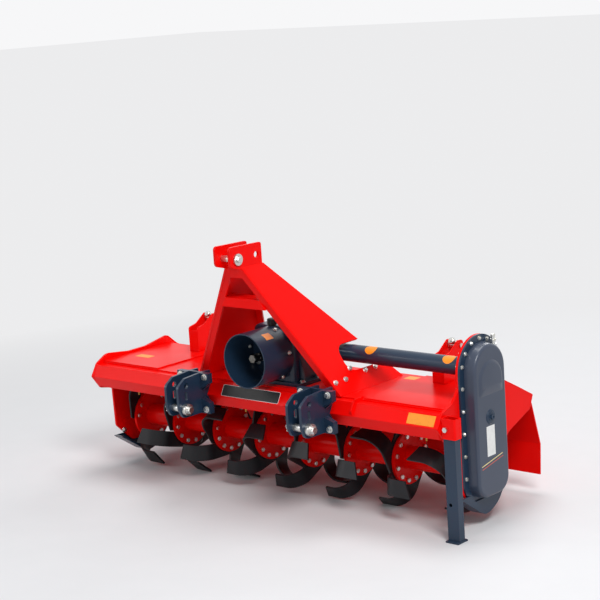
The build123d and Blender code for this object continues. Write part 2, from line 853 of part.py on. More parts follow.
# ---------------------------------------------------------------- parking stand
with BuildPart() as stand_socket:
    with BuildSketch(Plane.XY.offset(socket_top - socket_height)):
        with Locations((stand_x, stand_y)):
            wall = 2 * (slide_clearance + socket_wall)
            RectangleRounded(stand_width + wall, stand_depth + wall, 8)
            Rectangle(stand_width + 2 * slide_clearance, stand_depth + 2 * slide_clearance, mode=Mode.SUBTRACT)
    extrude(amount=socket_height)
    with BuildSketch(Plane.XZ.offset(-stand_y + stand_depth / 2)):
        with Locations((stand_x - 8, socket_top - 38)):
            Circle(6)
    extrude(amount=socket_wall + 4, mode=Mode.SUBTRACT)
put(stand_socket, "stand_socket")

with BuildPart() as stand_leg:
    with BuildSketch(Plane.XY):
        with Locations((stand_x, stand_y)):
            Rectangle(stand_width, stand_depth)
            Rectangle(stand_width - 2 * stand_wall, stand_depth - 2 * stand_wall, mode=Mode.SUBTRACT)
    extrude(amount=socket_top - 14)
    with BuildSketch(Plane.XY):
        with Locations((stand_x, stand_y)):
            Rectangle(stand_width + 6, stand_depth + 26)
    extrude(amount=6)
    with BuildSketch(Plane.XZ.offset(-stand_y - stand_depth)):
        with Locations((stand_x - 8, socket_top - 38 - stand_travel)):
            Circle(7)
    extrude(amount=2 * stand_depth, mode=Mode.SUBTRACT)
put(stand_leg, "stand_leg")

with BuildPart() as stand_lock_bolt:
    with BuildSketch(Plane.XZ.offset(-stand_y + stand_depth / 2 + slide_clearance)):
        with Locations((stand_x - 8, socket_top - 38)):
            Circle(6 - seat_gap)
    extrude(amount=socket_wall + 4)
    with BuildSketch(Plane.XZ.offset(-stand_y + stand_depth / 2 + slide_clearance + socket_wall + seat_gap)):
        with Locations((stand_x - 8, socket_top - 38)):
            RegularPolygon(10, 6)
    extrude(amount=9)
put(stand_lock_bolt, "stand_lock_bolt")

# ---------------------------------------------------------------- levelling board
board_x0 = x_left + 8
board_x1 = x_right - 8
with BuildPart() as rear_board:
    with BuildSketch(side_at(board_x0)):
        with BuildLine():
            Polyline(
                (board_hinge_y + 3, board_hinge_z - board_pipe - 6),
                (board_low_y + 4, board_low_z + 120),
                (board_low_y - 3, board_low_z),
                (board_low_y - 3 + board_sheet, board_low_z),
                (board_low_y + 4 + board_sheet, board_low_z + 120),
                (board_hinge_y + 3 + board_sheet, board_hinge_z - board_pipe - 6),
                close=True,
            )
        make_face()
    extrude(amount=board_x1 - board_x0)
    for i in range(1, knuckles, 2):
        with BuildSketch(side_at(x_left + 8 + i * knuckle_pitch + knuckle_gap)):
            with Locations((board_hinge_y, board_hinge_z)):
                Circle(board_pipe)
            Polygon(
                (board_hinge_y + 3, board_hinge_z),
                (board_hinge_y + 3, board_hinge_z - board_pipe - 8),
                (board_hinge_y + 3 + board_sheet, board_hinge_z - board_pipe - 8),
                (board_hinge_y + board_pipe - 1, board_hinge_z),
                align=None,
            )
            with Locations((board_hinge_y, board_hinge_z)):
                Circle(hinge_pin_radius + run_clearance, mode=Mode.SUBTRACT)
        extrude(amount=knuckle_pitch - 2 * knuckle_gap)
put(rear_board, "rear_board")

with BuildPart() as board_hinge_pin:
    with BuildSketch(side_at(board_x0 - 4)):
        with Locations((board_hinge_y, board_hinge_z)):
            Circle(hinge_pin_radius)
    extrude(amount=board_x1 - board_x0 + 8)
put(board_hinge_pin, "board_hinge_pin")

# lugs of the spring rods, with their cross pins
lug_plate = 8.0
eye_width = 18.0
lug_side = eye_width / 2 + 1
with BuildPart() as board_lugs:
    for x_tower in tower_xs:
        for x_plate in (x_tower - lug_side - lug_plate, x_tower + lug_side):
            with BuildSketch(side_at(x_plate)):
                with BuildLine():
                    FilletPolyline(
                        (board_hinge_y + 40, lug_z - 90),
                        (lug_y + 2, lug_z - 18),
                        (lug_y + 18, lug_z),
                        (lug_y + 2, lug_z + 18),
                        (board_hinge_y + 30, lug_z + 18),
                        radius=(0, 16, 12, 16, 0),
                        close=True,
                    )
                make_face()
            extrude(amount=lug_plate)
        with BuildSketch(side_at(x_tower - lug_side - lug_plate - 6)):
            with Locations((lug_y, lug_z)):
                Circle(7)
        extrude(amount=2 * (lug_side + lug_plate + 6))
    add(rear_board.part, mode=Mode.SUBTRACT)
put(board_lugs, "board_lugs")

# ---------------------------------------------------------------- rod towers, swivels and rods
tower_plate = 5.0
swivel_radius = 18.0
swivel_bore = rod_radius + 1.2
slope = (deck_tail_z - deck_top) / (board_hinge_y - 22 - deck_bend_y - 3)
with BuildPart() as rod_towers:
    for x_tower in tower_xs:
        for x_plate in (x_tower - tower_width / 2, x_tower + tower_width / 2 - tower_plate):
            with BuildSketch(side_at(x_plate)):
                with BuildLine():
                    FilletPolyline(
                        (tower_front, deck_top),
                        (tower_front, tower_pivot_z - 24),
                        (tower_front + 46, tower_pivot_z - 14),
                        (tower_pivot_y - 16, tower_pivot_z + 22),
                        (tower_pivot_y + 14, tower_pivot_z + 20),
                        (tower_pivot_y + 24, tower_pivot_z - 10),
                        (tower_pivot_y + 20, deck_top + slope * (tower_pivot_y + 20 - deck_bend_y - 3)),
                        (deck_bend_y + 3, deck_top),
                        radius=(0, 12, 12, 12, 12, 12, 0, 0),
                        close=True,
                    )
                make_face()
                with Locations((tower_pivot_y, tower_pivot_z)):
                    Circle(9 + run_clearance, mode=Mode.SUBTRACT)
            extrude(amount=tower_plate)
        with BuildSketch(side_at(x_tower - tower_width / 2)):
            with Locations((tower_front + tower_plate / 2, (deck_top + tower_pivot_z - 36) / 2)):
                Rectangle(tower_plate, tower_pivot_z - 36 - deck_top)
        extrude(amount=tower_width)
put(rod_towers, "rod_towers")

rod_dy = tower_pivot_y - lug_y
rod_dz = tower_pivot_z - lug_z
rod_length = sqrt(rod_dy * rod_dy + rod_dz * rod_dz)
rod_dir = Vector(0, rod_dy / rod_length, rod_dz / rod_length)


def rod_plane(x, along):
    """Plane square to a rod, at a distance along it from its lug pin."""
    origin = (x, lug_y + rod_dir.Y * along, lug_z + rod_dir.Z * along)
    return Plane(origin=origin, x_dir=(1, 0, 0), z_dir=rod_dir)


with BuildPart() as rod_swivels:
    for x_tower in tower_xs:
        inner_half = tower_width / 2 - tower_plate - 0.5
        with BuildSketch(side_at(x_tower - inner_half)):
            with Locations((tower_pivot_y, tower_pivot_z)):
                Circle(swivel_radius)
        extrude(amount=2 * inner_half)
        with BuildSketch(side_at(x_tower - tower_width / 2 - 6)):
            with Locations((tower_pivot_y, tower_pivot_z)):
                Circle(9)
        extrude(amount=tower_width + 12)
        with BuildSketch(rod_plane(x_tower, rod_length - 40)):
            Circle(swivel_bore)
        extrude(amount=80, mode=Mode.SUBTRACT)
put(rod_swivels, "rod_swivels")

with BuildPart() as spring_rods:
    for x_tower in tower_xs:
        with BuildSketch(rod_plane(x_tower, 8)):
            Circle(rod_radius)
        extrude(amount=rod_length + 36 - 8)
        with BuildSketch(side_at(x_tower - eye_width / 2)):
            with Locations((lug_y, lug_z)):
                Circle(rod_eye)
        extrude(amount=eye_width)
        with BuildSketch(rod_plane(x_tower, 60)):
            Circle(23)
        extrude(amount=6)
        with BuildSketch(rod_plane(x_tower, rod_length + swivel_radius + 2)):
            RegularPolygon(14, 6)
        extrude(amount=10)
        with BuildSketch(side_at(x_tower - eye_width / 2)):
            with Locations((lug_y, lug_z)):
                Circle(7 + run_clearance)
        extrude(amount=eye_width, mode=Mode.SUBTRACT)
put(spring_rods, "spring_rods")

spring_low = 60 + 6 + seat_gap
spring_length = 190.0
with BuildPart() as rod_springs:
    for x_tower in tower_xs:
        with BuildSketch(rod_plane(x_tower, spring_low)):
            Circle(20)
            Circle(rod_radius + 4, mode=Mode.SUBTRACT)
        extrude(amount=spring_length)
        with BuildSketch(rod_plane(x_tower, spring_low + spring_length + seat_gap)):
            Circle(23)
            Circle(rod_radius + seat_gap, mode=Mode.SUBTRACT)
        extrude(amount=6)
put(rod_springs, "rod_springs")
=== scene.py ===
import json
import math
from functools import cached_property

import bmesh
import bpy
from mathutils import Matrix, Vector


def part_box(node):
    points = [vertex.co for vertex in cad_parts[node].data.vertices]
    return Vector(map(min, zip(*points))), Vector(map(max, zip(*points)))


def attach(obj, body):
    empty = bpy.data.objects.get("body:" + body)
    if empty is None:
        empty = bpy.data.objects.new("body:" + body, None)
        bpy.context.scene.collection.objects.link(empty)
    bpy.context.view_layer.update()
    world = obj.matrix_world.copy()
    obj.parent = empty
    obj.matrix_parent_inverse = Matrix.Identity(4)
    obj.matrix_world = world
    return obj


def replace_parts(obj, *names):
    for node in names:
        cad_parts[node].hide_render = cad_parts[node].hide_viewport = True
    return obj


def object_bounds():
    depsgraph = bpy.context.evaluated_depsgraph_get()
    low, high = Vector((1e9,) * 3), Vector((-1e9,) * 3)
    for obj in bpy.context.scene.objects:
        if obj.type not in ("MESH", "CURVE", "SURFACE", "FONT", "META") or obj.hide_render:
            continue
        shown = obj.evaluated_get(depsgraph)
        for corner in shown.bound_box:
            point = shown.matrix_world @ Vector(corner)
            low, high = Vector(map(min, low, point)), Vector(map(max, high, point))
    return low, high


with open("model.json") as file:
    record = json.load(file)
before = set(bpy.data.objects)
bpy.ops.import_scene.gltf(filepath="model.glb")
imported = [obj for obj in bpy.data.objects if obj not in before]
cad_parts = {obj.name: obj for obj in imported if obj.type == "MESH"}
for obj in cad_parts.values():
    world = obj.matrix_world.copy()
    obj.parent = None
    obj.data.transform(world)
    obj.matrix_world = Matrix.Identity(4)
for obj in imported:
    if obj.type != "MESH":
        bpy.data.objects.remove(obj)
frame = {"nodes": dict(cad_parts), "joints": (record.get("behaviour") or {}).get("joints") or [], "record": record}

# Rotavator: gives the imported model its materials, adds bolts, clips, springs, covers and labels,
# and sets the floor, the light and the camera.

CAD_BOX = [corner.copy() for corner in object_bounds()]
MM = 0.001
RIGHT, LEFT = (1, 0, 0), (-1, 0, 0)
BACK, FRONT = (0, 1, 0), (0, -1, 0)
UP, DOWN = (0, 0, 1), (0, 0, -1)
joints = {joint["name"]: joint for joint in frame["joints"]}

# Places are in millimetres from the middle of the linkage (x), the rotor axis (y) and the ground
# (z); at() turns them into the frame's metres.
ORIGIN_X = (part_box("mast_leg_left")[0].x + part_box("mast_leg_right")[1].x) / 2
ORIGIN_Y = joints["rotor_spin"]["pos_m"][1]


def at(x, y, z):
    return Vector((ORIGIN_X + x * MM, ORIGIN_Y + y * MM, z * MM))


def from_frame(point):
    """Frame metres back to millimetres."""
    return Vector(((point[0] - ORIGIN_X) / MM, (point[1] - ORIGIN_Y) / MM, point[2] / MM))


def low_high(node):
    low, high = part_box(node)
    return from_frame(low), from_frame(high)


# ------------------------------------------------------------------ materials
class Graph:
    """Small helper that builds the nodes of one material or world."""

    def __init__(self, owner, output="ShaderNodeOutputMaterial"):
        self.owner = owner
        owner.use_nodes = True
        self.tree = owner.node_tree
        self.tree.nodes.clear()
        self.output = self.node(output)

    @cached_property
    def coords(self):
        return self.node("ShaderNodeTexCoord").outputs["Object"]

    def node(self, kind, settings=None, **values):
        made = self.tree.nodes.new(kind)
        for key, value in (settings or {}).items():
            setattr(made, key, value)
        for key, value in values.items():
            self.put(made.inputs[key.replace("_", " ")], value)
        return made

    def put(self, socket, value):
        if isinstance(value, bpy.types.NodeSocket):
            self.tree.links.new(value, socket)
        else:
            socket.default_value = value

    def noise(self, scale, detail, rough=0.55, stretch=None):
        place = self.coords
        if stretch:
            place = self.node("ShaderNodeMapping", Vector=place, Scale=stretch).outputs[0]
        made = self.node("ShaderNodeTexNoise", Vector=place, Scale=scale, Detail=detail,
                         Roughness=rough)
        return made.outputs["Fac"]

    def remap(self, value, low, high, to_low, to_high):
        made = self.node("ShaderNodeMapRange", Value=value, From_Min=low, From_Max=high,
                         To_Min=to_low, To_Max=to_high)
        return made.outputs["Result"]

    def mix(self, factor, first, second):
        made = self.node("ShaderNodeMix", {"data_type": "RGBA"})
        self.put(made.inputs[0], factor)
        self.put(made.inputs[6], first)
        self.put(made.inputs[7], second)
        return made.outputs[2]

    def tone(self, colour, factor):
        return self.node("ShaderNodeHueSaturation", Color=colour, Value=factor).outputs[0]

    def calculate(self, operation, first, second, clamp=False):
        made = self.node("ShaderNodeMath", {"operation": operation, "use_clamp": clamp})
        self.put(made.inputs[0], first)
        self.put(made.inputs[1], second)
        return made.outputs[0]

    def multiply(self, first, second):
        return self.calculate("MULTIPLY", first, second)

    def add(self, first, second):
        return self.calculate("ADD", first, second, clamp=True)

    def soft_edge(self, radius):
        return self.node("ShaderNodeBevel", {"samples": 4}, Radius=radius).outputs[0]

    def bump(self, height, strength, distance, normal=None):
        made = self.node("ShaderNodeBump", Height=height, Strength=strength, Distance=distance)
        if normal is not None:
            self.put(made.inputs["Normal"], normal)
        return made.outputs[0]

    def seen(self):
        """1 for rays that look at a surface or its mirror image, 0 for those that carry light."""
        path = self.node("ShaderNodeLightPath").outputs
        return self.add(self.add(path["Is Camera Ray"], path["Is Glossy Ray"]),
                        path["Is Transmission Ray"])

    def blend(self, factor, first, second):
        made = self.node("ShaderNodeMixShader")
        for socket, value in zip(made.inputs, (factor, first, second)):
            self.put(socket, value)
        return made.outputs[0]

    def surface(self, shader):
        self.put(self.output.inputs["Surface"], shader)
        return self.owner

    def finish(self, **values):
        return self.surface(self.node("ShaderNodeBsdfPrincipled", **values).outputs[0])


def rgb(red, green, blue):
    """sRGB 0..255 to a linear colour."""
    def channel(value):
        value /= 255
        return value / 12.92 if value <= 0.04045 else ((value + 0.055) / 1.055) ** 2.4
    return (channel(red), channel(green), channel(blue), 1.0)


NOISE_BAND = (0.3, 0.7)       # holds most values of a noise
WIDE_BAND = (0.2, 0.8)        # holds nearly all, so that nothing is cut off into specks
PATCH_BAND = (0.42, 0.8)      # the upper values alone, which make separate patches
TINT_BAND = (0.35, 0.7)       # for the bands of tint on plated steel

# Noise scales, in cells to the metre
DRIFT_SCALE = 2.6
PATCH_SCALE = 6
GLOSS_SCALE = 9
PEEL_SCALE = 640
SCRATCH_SCALE = 900
PRINT_SCALE = 60
FILM_SCALE = 220
GRAIN_SCALE = 900

DUST_HEIGHT = 0.55            # metres over which dust thins out
DUST_LEFT = 0.25              # share of it above that
DUST_TONE = 0.55              # value of dusty paint against clean
DUST_ROUGH = 0.35             # roughness that full dust adds
COAT_ROUGH = 0.08
PLATED_EDGE = 0.5             # mm


def paint(name, colour, rough, coat=0.0, spread=0.12, edge=1.4, grime=0.25, shine=0.5):
    """Sprayed machine paint: slight tone drift, orange peel, dust that gathers low and in patches.

    spread is the drift of its tone, and edge the radius in mm by which its edges look softened.
    """
    g = Graph(bpy.data.materials.new(name))
    drift = g.remap(g.noise(DRIFT_SCALE, 5), *NOISE_BAND, 1 - spread, 1 + spread * 0.6)
    clean = g.tone(colour, drift)
    patches = g.remap(g.noise(PATCH_SCALE, 4, 0.5), *PATCH_BAND, 0.0, 1.0)
    height = g.node("ShaderNodeSeparateXYZ", Vector=g.coords).outputs["Z"]
    low = g.remap(height, 0.0, DUST_HEIGHT, 1.0, DUST_LEFT)
    dust = g.multiply(g.multiply(patches, low), grime)
    base = g.mix(dust, clean, g.tone(colour, DUST_TONE))
    gloss = g.remap(g.noise(GLOSS_SCALE, 2), *WIDE_BAND, rough - 0.03, rough + 0.05)
    normal = g.bump(g.noise(PEEL_SCALE, 2), 0.05, 0.0002, g.soft_edge(edge * MM))
    return g.finish(Base_Color=base, Roughness=g.add(gloss, g.multiply(dust, DUST_ROUGH)),
                    Normal=normal, Coat_Weight=coat, Coat_Roughness=COAT_ROUGH,
                    Specular_IOR_Level=shine)


def plated(name, colour, rough, tint, scale=55):
    """Bright plated steel with faint bands of tint and fine scratches."""
    g = Graph(bpy.data.materials.new(name))
    bands = g.remap(g.noise(scale, 4, 0.6), *TINT_BAND, 0.0, 0.7)
    base = g.mix(bands, colour, tint)
    scratches = g.noise(SCRATCH_SCALE, 3, 0.6, (1.0, 1.0, 0.12))
    gloss = g.remap(scratches, *NOISE_BAND, rough - 0.08, rough + 0.12)
    normal = g.bump(scratches, 0.15, 0.0003, g.soft_edge(PLATED_EDGE * MM))
    return g.finish(Base_Color=base, Metallic=1.0, Roughness=gloss, Normal=normal)


def label(name, colour, rough=0.38):
    """Plain printed film, a little uneven."""
    g = Graph(bpy.data.materials.new(name))
    base = g.tone(colour, g.remap(g.noise(PRINT_SCALE, 4), *NOISE_BAND, 0.93, 1.04))
    gloss = g.remap(g.noise(FILM_SCALE, 2), *NOISE_BAND, rough - 0.06, rough + 0.06)
    normal = g.bump(g.noise(GRAIN_SCALE, 2), 0.08, 0.0002)
    return g.finish(Base_Color=base, Roughness=gloss, Normal=normal)


RED = paint("red_gloss_paint", rgb(246, 8, 4), 0.30, coat=0.04, spread=0.05, grime=0.12,
            shine=0.08)
GREY = paint("blue_grey_paint", rgb(30, 50, 72), 0.30, coat=0.2, spread=0.10, grime=0.2,
             shine=0.3)
# Lighter copy of the blue-grey paint for the gear case cover and its relief: painted light, standing for the
# brighter light on the case's outer face.
CASE_GREY_LIT_COPY = paint("case_grey_painted_light", rgb(60, 69, 87), 0.32, coat=0.25, spread=0.10, grime=0.2,
                  shine=0.35)
BLACK = paint("blade_black_paint", rgb(24, 24, 28), 0.38, spread=0.25, grime=0.6, shine=0.3)
SPRING = paint("spring_black", rgb(34, 34, 38), 0.33, edge=0.4)
ZINC = plated("zinc_plated_steel", rgb(214, 216, 218), 0.28, rgb(196, 190, 166))
STEEL = plated("greased_steel", rgb(120, 118, 114), 0.34, rgb(70, 62, 52), scale=90)
BRASS = plated("brass_nipple", rgb(206, 166, 84), 0.30, rgb(150, 112, 54))
ORANGE = label("orange_label", rgb(246, 148, 20))
WHITE = label("white_label", rgb(232, 232, 230))
MATT_BLACK = label("black_plate", rgb(14, 14, 15), 0.55)
STRIPE_PALE = label("pale_yellow_stripe", rgb(232, 214, 150))
STRIPE_RED = label("pale_red_stripe", rgb(190, 86, 74))

BY_SLOT = {"red_paint": RED, "grey_paint": GREY, "black_paint": BLACK, "zinc": ZINC,
           "steel": STEEL}
# The side case cover takes the lighter copy of the grey paint, whose lift in tone is painted light.
BY_NODE = {"side_case_cover": CASE_GREY_LIT_COPY}

for part in frame["record"]["subparts"]:
    mesh = frame["nodes"][part["node"]].data
    mesh.materials.clear()
    mesh.materials.append(BY_NODE.get(part["node"], BY_SLOT[part["material_slot"]]))


# ------------------------------------------------------------------ mesh helpers
def piece(name, body, material, build, sharp=32):
    """An object that build() fills; edges sharper than the angle in degrees stay sharp."""
    mesh = bpy.data.meshes.new(name)
    bm = bmesh.new()
    build(bm)
    bmesh.ops.recalc_face_normals(bm, faces=bm.faces)
    bm.to_mesh(mesh)
    bm.free()
    mesh.materials.append(material)
    for face in mesh.polygons:
        face.use_smooth = True
    mesh.set_sharp_from_angle(angle=math.radians(sharp))
    made = bpy.data.objects.new(name, mesh)
    bpy.context.scene.collection.objects.link(made)
    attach(made, body)
    return made


def axes_of(axis, hint=None):
    """The axis and two directions square to it, the first of them nearest to the hint."""
    axis = Vector(axis).normalized()
    first = axis.orthogonal().normalized()
    if hint is not None:
        first = (Vector(hint) - axis * axis.dot(Vector(hint))).normalized()
    return axis, first, axis.cross(first)


def bridge(bm, lower, upper):
    """Faces between two rings of vertices, either of which may be a single point."""
    if len(lower) == 1 and len(upper) == 1:
        return
    count = max(len(lower), len(upper))
    for i in range(count):
        j = (i + 1) % count
        if len(lower) == 1:
            bm.faces.new((lower[0], upper[j], upper[i]))
        elif len(upper) == 1:
            bm.faces.new((lower[i], lower[j], upper[0]))
        else:
            bm.faces.new((lower[i], lower[j], upper[j], upper[i]))


def bridge_all(bm, rings):
    for lower, upper in zip(rings, rings[1:]):
        bridge(bm, lower, upper)


def ring_of(bm, centre, first, second, radius, segments, turn=0.0):
    ring = []
    for i in range(segments):
        angle = turn + 2 * math.pi * i / segments
        out = first * math.cos(angle) + second * math.sin(angle)
        ring.append(bm.verts.new(centre + out * radius * MM))
    return ring


def lathe(bm, origin, axis, profile, segments, turn=0.0):
    """Solid of revolution; profile is a list of (radius, height) in mm along the axis."""
    axis, first, second = axes_of(axis)
    rings = []
    for radius, height in profile:
        centre = origin + axis * height * MM
        if radius > 0:
            rings.append(ring_of(bm, centre, first, second, radius, segments, turn))
        else:
            rings.append([bm.verts.new(centre)])
    bridge_all(bm, rings)


WASHER_TOP = 2.2


def bolt(bm, origin, axis, size, washer=0.0, turn=0.0, stud=0.0):
    """Hexagon head, or nut with a stud end, on a washer.

    size is half the head's width across corners, washer its radius and stud the length shown.
    turn is in radians; most callers pass any number of theirs, so that the heads don't line up.
    """
    base = 0.0
    if washer:
        base = WASHER_TOP
        lathe(bm, origin, axis,
              [(0, 0), (washer, 0), (washer, 1.6), (washer - 0.6, base), (0, base)], 20)
    head = size * 0.75
    top = base + head
    lathe(bm, origin, axis,
          [(0, base), (size, base), (size, base + head * 0.82), (size * 0.88, top), (0, top)],
          6, turn)
    if stud:
        lathe(bm, origin, axis,
              [(0, top), (size * 0.48, top), (size * 0.48, top + stud * 0.85),
               (size * 0.38, top + stud), (0, top + stud)], 12)


def bolt_ring(bm, centre, across, up, axis, radius, size, washer=0.0):
    """Six bolts round a centre, in the plane of across and up."""
    for i in range(6):
        angle = math.radians(30 + 60 * i)
        out = Vector(across) * math.cos(angle) + Vector(up) * math.sin(angle)
        bolt(bm, centre + out * radius * MM, axis, size, washer, angle)


def tube(bm, points, radius, segments, closed=False):
    """Round bar along a line of points (metres)."""
    rings = []
    count = len(points)
    last = None
    for i, point in enumerate(points):
        before = points[i - 1] if i or closed else point
        after = points[(i + 1) % count] if i < count - 1 or closed else point
        axis = (after - before).normalized()
        first = axis.orthogonal() if last is None else last - axis * axis.dot(last)
        first.normalize()
        last = first
        rings.append(ring_of(bm, point, first, axis.cross(first), radius, segments))
    bridge_all(bm, rings)
    if closed:
        bridge(bm, rings[-1], rings[0])
    else:
        bm.faces.new(rings[0])
        bm.faces.new(rings[-1])


def prism(bm, outline, origin, x_dir, y_dir, thickness):
    """Flat shape of 2D points (mm) with a thickness towards x_dir cross y_dir."""
    x_dir, y_dir = Vector(x_dir).normalized(), Vector(y_dir).normalized()
    out = x_dir.cross(y_dir) * thickness * MM
    lower = [bm.verts.new(origin + (x_dir * u + y_dir * v) * MM) for u, v in outline]
    upper = [bm.verts.new(vert.co + out) for vert in lower]
    bridge(bm, lower, upper)
    bm.faces.new(lower)
    bm.faces.new(upper)


CORNER_STEPS = 4


def rounded(width, height, radius):
    """Outline of a rectangle with rounded corners."""
    points = []
    for cx, cy, start in ((1, 1, 0), (-1, 1, 90), (-1, -1, 180), (1, -1, 270)):
        for i in range(CORNER_STEPS + 1):
            angle = math.radians(start + 90 * i / CORNER_STEPS)
            points.append((cx * (width / 2 - radius) + radius * math.cos(angle),
                           cy * (height / 2 - radius) + radius * math.sin(angle)))
    return points


# ------------------------------------------------------------------ rotor bolts
ROTOR_Z = joints["rotor_spin"]["pos_m"][2] / MM
FLANGES = 8
FLANGE_HALF = 6.0             # half the thickness of a flange
FLANGE_PITCH = 235.0
ROW_SHIFT = -66.0             # middle of the row of flanges
LAST_SHIFT = 47.0             # the last flange stands nearer to the gear case
BLADES = 6                    # to a flange
BLADE_BAR = 8.3               # thickness of a blade and the gap under it
FIRST_PHASE = -28.0           # turn of the first flange's blades
PHASE_STEP = 13.7             # turn from flange to flange
BOLT_CIRCLE = 88.0
BOLTS_ON_BLADE = (10.0, 40.0)
BLADE_HEAD = 9.5
BLADE_WASHER = 11.5
BLADE_STUD = 5
TWIST_STEP = 37               # degrees, so that the heads don't line up

flange_places = [ROW_SHIFT + FLANGE_PITCH * (i - (FLANGES - 1) / 2) for i in range(FLANGES)]
flange_places[-1] += LAST_SHIFT


def blade_turns(i):
    """Turns of the blades fitted to a flange: the end flanges have the inward ones only."""
    for k in range(BLADES):
        outward = (i == 0 and k % 2 == 0) or (i == FLANGES - 1 and k % 2)
        if not outward:
            yield FIRST_PHASE + PHASE_STEP * i + 360 / BLADES * k


def rotor_bolts(bm):
    """Two bolts through the foot of each blade."""
    for i, x in enumerate(flange_places):
        for turn in blade_turns(i):
            for place in BOLTS_ON_BLADE:
                angle = math.radians(place - turn)
                y = -BOLT_CIRCLE * math.sin(angle)
                z = ROTOR_Z - BOLT_CIRCLE * math.cos(angle)
                twist = math.radians(TWIST_STEP * i + place + turn)
                bolt(bm, at(x + FLANGE_HALF, y, z), RIGHT, BLADE_HEAD, turn=twist)
                bolt(bm, at(x - FLANGE_HALF - BLADE_BAR, y, z), LEFT,
                     BLADE_HEAD, BLADE_WASHER, twist, BLADE_STUD)


piece("blade_bolts", "rotor", ZINC, rotor_bolts)

# ------------------------------------------------------------------ side gear case bolts
CASE_FACE = low_high("side_case_cover")[1].x
PLATE_INNER = low_high("right_end_plate")[0].x
flange_low, flange_high = low_high("side_case_flange")
FLANGE_FACE = flange_high.x
ARCH_Z = flange_high.z - (flange_high.y - flange_low.y) / 2     # centre of its round top
CASE_BOLT_Y = 113.5           # rows from the middle, and radius of the bolts round the top
ARCH_BOLTS = 7
ARCH_FROM = 14                # degrees above level
ROW_BOLTS = 5
ROW_DROP = 52                 # first bolt of a row below the arch's centre
ROW_PITCH = 84


def case_bolts(bm):
    """Bolts round the gear case's flange, with nuts inside the end plate."""
    places = []
    for i in range(ARCH_BOLTS):
        angle = math.radians(ARCH_FROM + (180 - 2 * ARCH_FROM) * i / (ARCH_BOLTS - 1))
        places.append((CASE_BOLT_Y * math.cos(angle), ARCH_Z + CASE_BOLT_Y * math.sin(angle)))
    for k in range(ROW_BOLTS):
        for sign in (-1, 1):
            places.append((sign * CASE_BOLT_Y, ARCH_Z - ROW_DROP - ROW_PITCH * k))
    for y, z in places:
        bolt(bm, at(FLANGE_FACE, y, z), RIGHT, 6.2, 8.0, y + z)
        bolt(bm, at(PLATE_INNER, y, z), LEFT, 7.2, turn=y, stud=4)


piece("case_bolts", "frame", ZINC, case_bolts)

# ------------------------------------------------------------------ linkage bolts
bracket_boxes = [low_high("hitch_bracket_left"), low_high("hitch_bracket_right")]
bracket_middles = [(low.x + high.x) / 2 for low, high in bracket_boxes]
EAR_FRONT = -296.0
EAR_X = 66                    # bolts from the bracket's middle
EAR_LOW, EAR_HIGH = 17, 15    # bolts above the bracket's foot and below its top
EAR_GRIP = 24.5               # from the head to the nut
HITCH_HEAD = 10.5
HITCH_WASHER = 13.5


def hitch_bolts(bm):
    """Four bolts through the ears of each bracket, with nuts behind."""
    for (low, high), middle in zip(bracket_boxes, bracket_middles):
        for sign in (-1, 1):
            for z in (low.z + EAR_LOW, high.z - EAR_HIGH):
                x = middle + sign * EAR_X
                bolt(bm, at(x, EAR_FRONT, z), FRONT, HITCH_HEAD, HITCH_WASHER, z * 0.3)
                bolt(bm, at(x, EAR_FRONT + EAR_GRIP, z), BACK, HITCH_HEAD, HITCH_WASHER, z, 6)


piece("hitch_bolts", "frame", ZINC, hitch_bolts)

# ------------------------------------------------------------------ mast bolts
beam_low, beam_high = low_high("front_beam")
BEAM_Y, BEAM_Z = (beam_low.y + beam_high.y) / 2, (beam_low.z + beam_high.z) / 2
BEAM_TOP = beam_high.z
DECK_TOP = low_high("deck_panels")[0].z
LEG_BEND_Z = 966              # where the legs bend upright
LEG_BEND_X = 42
LEG_FOOT_X = low_high("mast_leg_right")[1].x + 4                # at the beam's top
SPLAY = (LEG_FOOT_X - LEG_BEND_X) / (LEG_BEND_Z - BEAM_TOP)
WEB_BOLTS = ((-198, 519), (-138, 520), (-87, 550), (-13, 529), (49, 530))


def web_x(z):
    """Outer face of the mast leg's web at a height."""
    return LEG_FOOT_X - (z - BEAM_TOP) * SPLAY


def mast_bolts(bm):
    """Bolts through the foot of each mast leg."""
    for sign in (-1, 1):
        normal = Vector((sign, 0, SPLAY)).normalized()
        for y, z in WEB_BOLTS:
            bolt(bm, at(sign * web_x(z), y, z), normal, 8.5, 10.5, y)


piece("mast_bolts", "frame", ZINC, mast_bolts)

# ------------------------------------------------------------------ gearbox
gear_low, gear_high = low_high("gearbox")
INPUT_Z = joints["input_spin"]["pos_m"][2] / MM
BOX_FRONT = gear_low.y + 10   # the box stands back from the edges of its base
BOX_REAR = gear_high.y - 10
BOX_SIDE = gear_high.x - 30
BASE_TOP = DECK_TOP + 14
BASE_BOLT_YS = (gear_low.y + 32, -42, gear_high.y - 26)
CAP_Y = -8
SIDE_Z = INPUT_Z - 8          # centre of the side covers
REAR_Z = INPUT_Z - 6          # centre of the rear cover
DRIVE_BORE = 34.5             # the drive tube leaves through the right cover
RIB = 8                       # thickness of a rib
RIB_OUTLINE = [(0, 0), (24, 0), (0, 96)]
RIB_INSET = 40                # from the box's front and rear

# Profiles of (radius, height)
TOP_CAP = [(0, 0), (58, 0), (58, 9), (54, 13), (26, 14), (22, 20), (0, 20)]
SIDE_COVER = [(70, 0), (70, 10), (66, 14), (46, 15), (42, 24)]
FRONT_COVER = [(19, 0), (102.5, 0), (102.5, 6), (70, 8), (66, 16), (36, 18), (32, 26), (24, 28),
               (19, 28)]
REAR_COVER = [(0, 0), (62, 0), (62, 8), (58, 12), (0, 13)]


